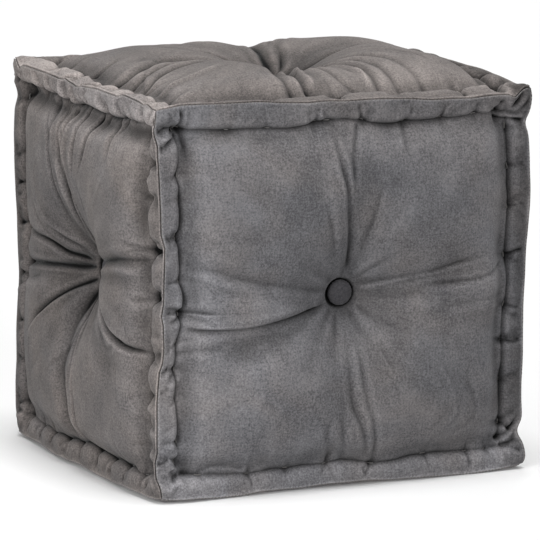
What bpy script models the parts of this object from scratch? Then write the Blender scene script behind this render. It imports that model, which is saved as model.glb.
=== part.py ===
"""Cube pouf stool: a firmly filled cube of cotton canvas with stitched, rolled edges.

Six square panels are sewn along twelve edges round a filling. Every edge is stitched through by hand into a
raised roll, and a covered button, tied through the filling, draws the middle of each panel in. The cloth and
its filling are one solid, uneven as the sewn thing is. Metres, +Z up, standing on the floor at z = 0; the
front is towards -Y.
"""

import math
from collections import namedtuple

import bmesh
import bpy
from mathutils import Matrix, Vector

# Across the rolled edges, crest to crest, and the rolled edge itself.
WIDTH = 0.420
DEPTH = 0.404
HEIGHT = 0.400
HALF = Vector((WIDTH, DEPTH, HEIGHT)) / 2
ROLL_RADIUS = 0.013
ROLL_WIDTH = 0.025  # from the seam in to the stitched channel
SEAM_ANGLE = math.radians(45)  # where round the roll the two panels meet

# The buttons and the seats that they are drawn into.
BUTTON_RADIUS = 0.0135
BUTTON_THICK = 0.009
BUTTON_ROUNDING = 0.0032
BUTTON_DOME = 0.0022
DOME_STOPS = (0.0, 0.4, 0.75)
RIM_STEP = 30  # degrees
BUTTON_SIDES = 24
SEAT_HALF = 0.0160
SEAT_GAP = 0.0004
LEAST = 1e-6  # lengths under this count as nothing

# The grid's lines: round the roll's outer side, then at these distances in from the seam, then at these
# distances out from the panel's middle.
ARC_STEPS = 3
INNER_STOPS = (0.019, ROLL_WIDTH, 0.030, 0.042, 0.062, 0.088, 0.116, 0.143)
MIDDLE_STOPS = (0.036, SEAT_HALF, 0.0)

# How boxy a filled panel is, and how steeply it rises from the channel; then the same on a panel's gentle side.
SWELL_FULLNESS = 4.2
SWELL_STEEPNESS = 0.62
GENTLE_FULLNESS = 2.9
GENTLE_STEEPNESS = 0.88

CLOTH_COLOUR = (0.145, 0.140, 0.145, 1.0)
BUTTON_COLOUR = (0.055, 0.052, 0.058, 1.0)
CLOTH_ROUGHNESS = 0.95

# One row for each panel. right and up are its own directions, seen from outside; crown is how far it swells
# past the rolls, seat how deep its button's seat lies behind them, and pull how far the dimple spreads.
# gentle_right and gentle_up name the side, 1 or -1, where the filling has settled and the swell is gentler.
# The bottom's crown is pressed flat by the floor.
Panel = namedtuple("Panel", "name normal right up crown seat pull button_right button_up gentle_right gentle_up")
PANELS = (
    Panel("front", (0, -1, 0), (1, 0, 0), (0, 0, 1), 0.025, 0.024, 0.036, 0.000, -0.003, 0, 0),
    Panel("back", (0, 1, 0), (-1, 0, 0), (0, 0, 1), 0.026, 0.022, 0.038, 0.004, 0.000, 0, 0),
    Panel("left", (-1, 0, 0), (0, -1, 0), (0, 0, 1), 0.028, 0.032, 0.048, 0.004, 0.005, -1, 0),
    Panel("right", (1, 0, 0), (0, 1, 0), (0, 0, 1), 0.026, 0.024, 0.038, 0.003, 0.002, 0, 0),
    Panel("top", (0, 0, 1), (1, 0, 0), (0, 1, 0), 0.026, 0.022, 0.052, 0.010, 0.004, 0, 1),
    Panel("bottom", (0, 0, -1), (1, 0, 0), (0, -1, 0), 0.012, 0.020, 0.026, 0.000, 0.000, 0, 0),
)

# The drawn-in creases, each running out from its panel's button. angle is in degrees from the panel's right,
# start and reach are distances from the button, and bend is how far the far end swings to the left.
Crease = namedtuple("Crease", "panel angle start reach depth width bend")
CREASES = (
    Crease("front", 206, 0.018, 0.176, 0.011, 0.017, -0.028),
    Crease("front", 170, 0.020, 0.172, 0.006, 0.018, -0.006),
    Crease("front", 10, 0.018, 0.168, 0.007, 0.020, 0.000),
    Crease("front", 82, 0.018, 0.170, 0.006, 0.018, 0.006),
    Crease("front", 262, 0.018, 0.150, 0.003, 0.022, 0.010),
    Crease("front", 328, 0.020, 0.090, 0.004, 0.018, 0.000),
    Crease("left", 184, 0.018, 0.172, 0.011, 0.018, 0.000),
    Crease("left", 212, 0.020, 0.150, 0.003, 0.018, 0.000),
    Crease("left", 318, 0.018, 0.172, 0.008, 0.018, 0.040),
    Crease("left", 14, 0.014, 0.172, 0.008, 0.022, 0.000),
    Crease("left", 100, 0.018, 0.172, 0.008, 0.020, 0.010),
    Crease("left", 266, 0.018, 0.172, 0.007, 0.022, 0.000),
    Crease("top", 178, 0.018, 0.160, 0.010, 0.026, 0.000),
    Crease("top", 77, 0.018, 0.172, 0.011, 0.024, 0.000),
    Crease("top", 11, 0.018, 0.172, 0.012, 0.024, 0.006),
    Crease("top", 252, 0.014, 0.172, 0.013, 0.024, 0.006),
    Crease("top", 288, 0.020, 0.165, 0.004, 0.022, 0.000),
    Crease("right", 186, 0.018, 0.165, 0.008, 0.020, 0.006),
    Crease("right", 352, 0.018, 0.160, 0.008, 0.020, 0.000),
    Crease("right", 78, 0.018, 0.160, 0.006, 0.020, -0.006),
    Crease("right", 250, 0.018, 0.150, 0.006, 0.020, 0.008),
    Crease("back", 168, 0.018, 0.165, 0.008, 0.020, -0.006),
    Crease("back", 24, 0.018, 0.165, 0.008, 0.020, 0.010),
    Crease("back", 100, 0.018, 0.160, 0.006, 0.020, 0.000),
    Crease("back", 282, 0.018, 0.150, 0.005, 0.022, -0.008),
)

# How far the sewn cube's corners and the middles of its edges stray from a true box. side holds -1, 0 or 1
# along X, Y and Z; an edge has a 0 along its own length.
Stray = namedtuple("Stray", "side shift")
STRAYS = (
    Stray((-1, -1, 1), (-0.002, 0.001, 0.000)),
    Stray((1, -1, 1), (0.003, -0.002, 0.000)),
    Stray((-1, 1, 1), (0.000, 0.002, 0.015)),
    Stray((1, 1, 1), (0.000, 0.002, 0.006)),
    Stray((-1, -1, -1), (-0.003, 0.000, 0.000)),
    Stray((1, -1, -1), (-0.003, 0.002, 0.000)),
    Stray((-1, 1, -1), (0.000, 0.002, 0.000)),
    Stray((-1, -1, 0), (0.003, 0.003, 0.000)),
    Stray((1, -1, 0), (-0.001, 0.003, 0.000)),
    Stray((-1, 1, 0), (0.002, -0.001, 0.000)),
    Stray((1, 1, 0), (-0.004, -0.003, 0.000)),
    Stray((-1, 0, -1), (-0.006, 0.000, 0.000)),
    Stray((1, 0, 1), (0.000, 0.000, 0.015)),
    Stray((0, 1, 1), (0.000, 0.000, 0.006)),
)

SETTLE = Vector((0.0008, -0.0013, 0.0))  # brings the uneven cube's middle back over the origin

# The sewing's own unevenness: how far the seams and the stitched channels wander, and over what length. The
# phases set each seam and channel apart from the next.
SEAM_WANDER = 0.0016
SEAM_WANDER_LENGTH = 0.170
SEAM_SLANT = 0.6
SEAM_PHASES = (1.3, 3.4, 5.5)
CHANNEL_WANDERS = ((0.0017, 0.155), (0.0011, 0.092))
CHANNEL_REACH = 0.085  # the cloth past this distance from the seam no longer follows the channel
CHANNEL_FADE = 0.050
CORNER_FADE = 0.040
PANEL_PHASE = 2.4
SIDE_PHASE = 1.7
UP_PHASE = 0.9


def smooth_step(value):
    value = min(max(value, 0.0), 1.0)
    return value * value * (3 - 2 * value)


def grid_stops(half):
    """Distances from the middle of a side at which the grid's lines run, from one seam to the other."""
    arc = [half - ROLL_RADIUS * (1 - math.tan(SEAM_ANGLE * (1 - step / ARC_STEPS)))
           for step in range(ARC_STEPS + 1)]
    inner = [half - stop for stop in INNER_STOPS]
    outward = list(reversed(arc + inner + list(MIDDLE_STOPS)))
    return [-stop for stop in reversed(outward[1:])] + outward


def channel(distance):
    """How far the roll's inner side has fallen at this distance from the seam."""
    past_crest = min(max(distance - ROLL_RADIUS, 0.0), ROLL_WIDTH - ROLL_RADIUS)
    return ROLL_RADIUS - math.sqrt(ROLL_RADIUS ** 2 - past_crest ** 2)


def swell(place, half, gentle_side):
    """The share of its crown that a panel has reached, 0 at both its channels and 1 in its middle."""
    short_of_middle = 1 - min(max((half - abs(place) - ROLL_WIDTH) / (half - ROLL_WIDTH), 0.0), 1.0)
    if place * gentle_side > 0:
        return (1 - short_of_middle ** GENTLE_FULLNESS) ** GENTLE_STEEPNESS
    return (1 - short_of_middle ** SWELL_FULLNESS) ** SWELL_STEEPNESS


def crease_depth(crease, right, up):
    """How deep this crease is at a point given from the panel's button."""
    angle = math.radians(crease.angle)
    along = right * math.cos(angle) + up * math.sin(angle)
    across = up * math.cos(angle) - right * math.sin(angle)
    if not crease.start < along < crease.reach:
        return 0.0
    run = (along - crease.start) / (crease.reach - crease.start)
    line = crease.bend * run * run
    ends = smooth_step(run * 6) * smooth_step((1 - run) * 3)
    return crease.depth * ends * math.exp(-((across - line) / crease.width) ** 2)


def panel_height(panel, right, up, half_right, half_up):
    """How far the panel stands off the plane through its rolls' crests, at a place given from its button."""
    from_side = half_right - abs(right)
    from_end = half_up - abs(up)
    sunk = min(channel(from_side), channel(from_end))
    filled = swell(right, half_right, panel.gentle_right) * swell(up, half_up, panel.gentle_up)
    drawn_in = sum(crease_depth(crease, right, up) for crease in CREASES if crease.panel == panel.name)
    height = (channel(ROLL_WIDTH) + panel.crown - drawn_in) * filled - sunk
    on_seat = max(abs(right), abs(up)) < SEAT_HALF + LEAST
    off_seat = 0.0 if on_seat else math.hypot(right, up) - SEAT_HALF
    height -= (height + panel.seat) * math.exp(-off_seat / panel.pull)
    return min(height, 0.0) if panel.name == "bottom" else height


def strayed(point):
    """The point moved by the cube's unevenness; the floor's plane stays flat."""
    share = [point[axis] / HALF[axis] for axis in range(3)]
    moved = Vector(point)
    for stray in STRAYS:
        weight = 1.0
        for side, part in zip(stray.side, share):
            weight *= max(0.0, 1 - part * part) if side == 0 else (1 + side * part) / 2
        moved += Vector(stray.shift) * weight
    for axis in range(3):
        across = point[(axis + 1) % 3] + SEAM_SLANT * point[(axis + 2) % 3]
        wander = SEAM_WANDER * math.sin(math.tau * across / SEAM_WANDER_LENGTH + SEAM_PHASES[axis])
        moved[axis] += wander * ((1 + share[2]) / 2 if axis == 2 else 1.0)
    return moved


def rounded(point):
    """The cube's own point brought onto its rounded edges, with the direction that it faces."""
    core = Vector([min(max(point[axis], ROLL_RADIUS - HALF[axis]), HALF[axis] - ROLL_RADIUS)
                   for axis in range(3)])
    facing = (point - core).normalized()
    return core + facing * ROLL_RADIUS, facing


def channel_wander(along, phase):
    """How far the stitched channel strays from its straight line, at a place along it."""
    return sum(size * math.sin(math.tau * along / length + phase) for size, length in CHANNEL_WANDERS)


def laid(place, along, half, half_along, offset, phase):
    """Where a place on the cloth really lies: shifted with the wandering channel, and towards the button."""
    from_seam = half - abs(place)
    from_end = half_along - abs(along)
    side = math.copysign(1.0, place)
    past_crest = smooth_step((from_seam - ROLL_RADIUS / 2) / ROLL_RADIUS)
    at_channel = past_crest * smooth_step((CHANNEL_REACH - from_seam) / CHANNEL_FADE)
    off_corner = smooth_step((from_end - ROLL_WIDTH) / CORNER_FADE)
    wander = side * at_channel * off_corner * channel_wander(along, phase + SIDE_PHASE * side)
    return place + wander + offset * smooth_step(min(from_seam / half, from_end / half_along))


def panel_point(panel, right, up, lift=0.0):
    """A point of the finished cushion, or lift above it, at a place given in the cloth, from its button."""
    axis_right, axis_up, normal = Vector(panel.right), Vector(panel.up), Vector(panel.normal)
    half_right = abs(axis_right.dot(HALF))
    half_up = abs(axis_up.dot(HALF))
    height = panel_height(panel, right, up, half_right, half_up)
    phase = PANEL_PHASE * PANELS.index(panel)
    place_right = laid(right, up, half_right, half_up, panel.button_right, phase)
    place_up = laid(up, right, half_up, half_right, panel.button_up, phase + UP_PHASE)
    flat = normal * abs(normal.dot(HALF)) + axis_right * place_right + axis_up * place_up
    point, facing = rounded(flat)
    return strayed(point + facing * (height + lift)) + SETTLE + Vector((0, 0, HALF.z))


def material(name, colour):
    made = bpy.data.materials.new(name)
    made.use_nodes = True
    shader = made.node_tree.nodes["Principled BSDF"]
    shader.inputs["Base Color"].default_value = colour
    shader.inputs["Roughness"].default_value = CLOTH_ROUGHNESS
    shader.inputs["Metallic"].default_value = 0.0
    return made


def panel_of(corner):
    """The panel that a point of the plain cube, running from -1 to 1 each way, lies on."""
    return next(panel for panel in PANELS if Vector(panel.normal).dot(corner) > 1 - LEAST)


def make_cushion(collection):
    """The filled cloth cube, from a gridded cube whose points are moved onto the panels."""
    steps = 2 * (ARC_STEPS + 1 + len(INNER_STOPS) + len(MIDDLE_STOPS) - 1)
    stops = [grid_stops(half) for half in HALF]
    shape = bmesh.new()
    bmesh.ops.create_cube(shape, size=2)
    bmesh.ops.subdivide_edges(shape, edges=shape.edges[:], cuts=steps - 1, use_grid_fill=True)
    for vertex in shape.verts:
        panel = panel_of(vertex.co)
        flat = Vector([stops[axis][round((vertex.co[axis] + 1) / 2 * steps)] for axis in range(3)])
        vertex.co = panel_point(panel, Vector(panel.right).dot(flat), Vector(panel.up).dot(flat))
    bmesh.ops.triangulate(shape, faces=shape.faces[:])
    mesh = bpy.data.meshes.new("cushion")
    shape.to_mesh(mesh)
    shape.free()
    mesh.shade_smooth()
    mesh.materials.append(material("stonewashed canvas", CLOTH_COLOUR))
    cushion = bpy.data.objects.new("cushion", mesh)
    collection.objects.link(cushion)
    return cushion


def button_profile():
    """The covered button's outer line, from the middle of its face down to the middle of its back."""
    top = BUTTON_THICK - BUTTON_DOME
    flat_radius = BUTTON_RADIUS - BUTTON_ROUNDING
    dome = [(flat_radius * share, top + BUTTON_DOME * (1 - share * share)) for share in DOME_STOPS]
    rim = []
    for angle in range(90, -91, -RIM_STEP):
        out = BUTTON_ROUNDING * math.cos(math.radians(angle))
        rise = top / 2 * (1 + math.sin(math.radians(angle)))
        rim.append((flat_radius + out, rise))
    return dome + rim + [(0.0, 0.0)]


def make_button(panel, collection, cloth):
    """A cloth-covered button lying on its seat, tilted as the seat is."""
    profile = button_profile()
    mesh = bpy.data.meshes.new("button_" + panel.name)
    points = [(radius, 0.0, rise) for radius, rise in profile]
    mesh.from_pydata(points, [(i, i + 1) for i in range(len(points) - 1)], [])
    button = bpy.data.objects.new("button_" + panel.name, mesh)
    turn = button.modifiers.new("turned", "SCREW")
    turn.steps = BUTTON_SIDES
    turn.render_steps = BUTTON_SIDES
    turn.use_merge_vertices = True
    turn.merge_threshold = 0.00005
    turn.use_smooth_shade = True
    mesh.materials.append(cloth)
    middle = panel_point(panel, 0.0, 0.0, SEAT_GAP)
    beside = panel_point(panel, SEAT_HALF, 0.0, SEAT_GAP)
    above = panel_point(panel, 0.0, SEAT_HALF, SEAT_GAP)
    facing = (beside - middle).cross(above - middle).normalized()
    side = (beside - middle).normalized()
    turned = Matrix((side, facing.cross(side), facing)).transposed()
    button.matrix_world = Matrix.Translation(middle) @ turned.to_4x4()
    collection.objects.link(button)
    return button


def clear_scene():
    for old in list(bpy.data.objects):
        bpy.data.objects.remove(old)


def main():
    clear_scene()
    collection = bpy.data.collections.new("cube_pouf_stool")
    bpy.context.scene.collection.children.link(collection)
    make_cushion(collection)
    covered = material("button canvas", BUTTON_COLOUR)
    for panel in PANELS:
        make_button(panel, collection, covered)


main()
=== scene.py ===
"""Looks of the cube pouf stool: six gathered canvas panels, their sewn seams, hand stitches and buttons.

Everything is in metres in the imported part's own frame: +Z up, the front towards -Y, the floor at z = 0.
"""

import itertools
import math
from collections import namedtuple

import bmesh
import bpy
import numpy as np
from mathutils import Matrix, Vector


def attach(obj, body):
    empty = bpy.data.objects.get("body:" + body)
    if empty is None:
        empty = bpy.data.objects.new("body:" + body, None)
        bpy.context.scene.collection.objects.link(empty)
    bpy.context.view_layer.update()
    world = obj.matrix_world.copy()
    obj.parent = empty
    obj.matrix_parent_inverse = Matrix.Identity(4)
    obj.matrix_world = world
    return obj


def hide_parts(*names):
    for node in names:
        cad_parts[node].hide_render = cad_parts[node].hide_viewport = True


bl_info = {
    "name": "Cube pouf stool looks",
    "version": (1, 0, 0),
    "blender": (4, 5, 0),
    "location": "3D View > Sidebar > Pouf",
    "description": "Gathered canvas panels, seams, hand stitches and covered buttons of a cube pouf stool",
    "category": "Object",
}

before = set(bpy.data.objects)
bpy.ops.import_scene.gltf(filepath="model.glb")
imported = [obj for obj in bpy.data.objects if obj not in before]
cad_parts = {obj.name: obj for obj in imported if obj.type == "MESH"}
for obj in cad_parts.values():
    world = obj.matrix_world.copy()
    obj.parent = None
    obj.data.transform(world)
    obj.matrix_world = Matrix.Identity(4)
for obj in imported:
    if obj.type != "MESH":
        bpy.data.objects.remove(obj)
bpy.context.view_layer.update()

MM = 0.001

# The sewn cube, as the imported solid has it.
HALF = np.array((0.210, 0.202, 0.200))
ROLL_RADIUS = 0.013
ROLL_WIDTH = 0.025
BUTTON_RADIUS = 0.0135
BUTTON_THICK = 0.009
BUTTON_ROUNDING = 0.0032
BUTTON_DOME = 0.0022
SEAT_HALF = 0.0160
SEAT_RADIUS = 0.0145
SEAT_GAP = 0.0004
SWELL_FULLNESS = 4.2
SWELL_STEEPNESS = 0.62
GENTLE_FULLNESS = 2.9
GENTLE_STEEPNESS = 0.88
SETTLE = np.array((0.0008, -0.0013, 0.0))
SEAM_WANDER = 0.0016
SEAM_WANDER_LENGTH = 0.170
SEAM_SLANT = 0.6
SEAM_PHASES = (1.3, 3.4, 5.5)
CHANNEL_WANDERS = ((0.0017, 0.155), (0.0011, 0.092))
CHANNEL_REACH = 0.085
CHANNEL_FADE = 0.050
CORNER_FADE = 0.040
PANEL_PHASE = 2.4
SIDE_PHASE = 1.7
UP_PHASE = 0.9

# One row for each panel. right and up are its own directions, seen from outside; crown is how far it swells
# past the rolls, seat how deep its button's seat lies, pull how far the dimple spreads, button_right and
# button_up where the button sits, and gentle_right and gentle_up the side, 1 or -1, of the gentler swell.
Panel = namedtuple("Panel", "name normal right up crown seat pull "
                            "button_right button_up gentle_right gentle_up")
PANELS = (
    Panel("front", (0, -1, 0), (1, 0, 0), (0, 0, 1), 0.025, 0.024, 0.036, 0.000, -0.003, 0, 0),
    Panel("back", (0, 1, 0), (-1, 0, 0), (0, 0, 1), 0.026, 0.022, 0.038, 0.004, 0.000, 0, 0),
    Panel("left", (-1, 0, 0), (0, -1, 0), (0, 0, 1), 0.028, 0.032, 0.048, 0.004, 0.005, -1, 0),
    Panel("right", (1, 0, 0), (0, 1, 0), (0, 0, 1), 0.026, 0.024, 0.038, 0.003, 0.002, 0, 0),
    Panel("top", (0, 0, 1), (1, 0, 0), (0, 1, 0), 0.026, 0.022, 0.052, 0.010, 0.004, 0, 1),
    Panel("bottom", (0, 0, -1), (1, 0, 0), (0, -1, 0), 0.012, 0.020, 0.026, 0.000, 0.000, 0, 0),
)

# The main creases, each running out from its panel's button: its angle in degrees from the panel's right,
# where it starts and ends, its depth and width, and how far its far end swings to the left.
Crease = namedtuple("Crease", "panel angle start reach depth width bend")
CREASES = (
    Crease("front", 206, 0.018, 0.176, 0.011, 0.017, -0.028),
    Crease("front", 170, 0.020, 0.172, 0.006, 0.018, -0.006),
    Crease("front", 10, 0.018, 0.168, 0.007, 0.020, 0.000),
    Crease("front", 82, 0.018, 0.170, 0.006, 0.018, 0.006),
    Crease("front", 262, 0.018, 0.150, 0.003, 0.022, 0.010),
    Crease("front", 328, 0.020, 0.090, 0.004, 0.018, 0.000),
    Crease("left", 184, 0.018, 0.172, 0.011, 0.018, 0.000),
    Crease("left", 212, 0.020, 0.150, 0.003, 0.018, 0.000),
    Crease("left", 318, 0.018, 0.172, 0.008, 0.018, 0.040),
    Crease("left", 14, 0.014, 0.172, 0.008, 0.022, 0.000),
    Crease("left", 100, 0.018, 0.172, 0.008, 0.020, 0.010),
    Crease("left", 266, 0.018, 0.172, 0.007, 0.022, 0.000),
    Crease("top", 178, 0.018, 0.160, 0.010, 0.026, 0.000),
    Crease("top", 77, 0.018, 0.172, 0.011, 0.024, 0.000),
    Crease("top", 11, 0.018, 0.172, 0.012, 0.024, 0.006),
    Crease("top", 252, 0.014, 0.172, 0.013, 0.024, 0.006),
    Crease("top", 288, 0.020, 0.165, 0.004, 0.022, 0.000),
    Crease("right", 186, 0.018, 0.165, 0.008, 0.020, 0.006),
    Crease("right", 352, 0.018, 0.160, 0.008, 0.020, 0.000),
    Crease("right", 78, 0.018, 0.160, 0.006, 0.020, -0.006),
    Crease("right", 250, 0.018, 0.150, 0.006, 0.020, 0.008),
    Crease("back", 168, 0.018, 0.165, 0.008, 0.020, -0.006),
    Crease("back", 24, 0.018, 0.165, 0.008, 0.020, 0.010),
    Crease("back", 100, 0.018, 0.160, 0.006, 0.020, 0.000),
    Crease("back", 282, 0.018, 0.150, 0.005, 0.022, -0.008),
)

# How far the cube's corners and the middles of its edges stray from a true box.
STRAYS = (
    ((-1, -1, 1), (-0.002, 0.001, 0.000)),
    ((1, -1, 1), (0.003, -0.002, 0.000)),
    ((-1, 1, 1), (0.000, 0.002, 0.015)),
    ((1, 1, 1), (0.000, 0.002, 0.006)),
    ((-1, -1, -1), (-0.003, 0.000, 0.000)),
    ((1, -1, -1), (-0.003, 0.002, 0.000)),
    ((-1, 1, -1), (0.000, 0.002, 0.000)),
    ((-1, -1, 0), (0.003, 0.003, 0.000)),
    ((1, -1, 0), (-0.001, 0.003, 0.000)),
    ((-1, 1, 0), (0.002, -0.001, 0.000)),
    ((1, 1, 0), (-0.004, -0.003, 0.000)),
    ((-1, 0, -1), (-0.006, 0.000, 0.000)),
    ((1, 0, 1), (0.000, 0.000, 0.015)),
    ((0, 1, 1), (0.000, 0.000, 0.006)),
)

# Where the cloth gathered at a corner stands out or is drawn in: its place on the plain cube, its size, and
# how it is shifted.
KNOBS = (
    ((0.206, -0.198, 0.190), 0.015, (0.0030, -0.0010, 0.0020)),
    ((-0.206, -0.198, 0.192), 0.016, (-0.0030, -0.0020, 0.0030)),
    ((0.206, -0.198, -0.188), 0.014, (0.0040, -0.0020, 0.0000)),
    ((0.206, -0.198, -0.160), 0.010, (-0.0060, 0.0030, 0.0000)),
    ((0.204, -0.196, 0.200), 0.009, (0.0010, 0.0000, 0.0050)),
    ((0.190, -0.200, 0.200), 0.006, (0.0000, 0.0000, -0.0040)),
    ((0.206, -0.198, 0.165), 0.009, (-0.0035, 0.0015, 0.0000)),
    ((-0.206, -0.180, 0.198), 0.007, (0.0025, 0.0000, -0.0030)),
    ((-0.186, -0.200, 0.200), 0.014, (0.0000, 0.0000, 0.0020)),
    ((-0.208, -0.200, 0.164), 0.008, (0.0020, 0.0020, 0.0000)),
    ((-0.206, 0.196, 0.196), 0.014, (-0.0030, 0.0000, 0.0030)),
    ((-0.206, 0.172, 0.198), 0.009, (0.0020, 0.0000, -0.0035)),
    ((-0.208, 0.198, 0.160), 0.010, (0.0030, -0.0010, 0.0000)),
)

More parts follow.
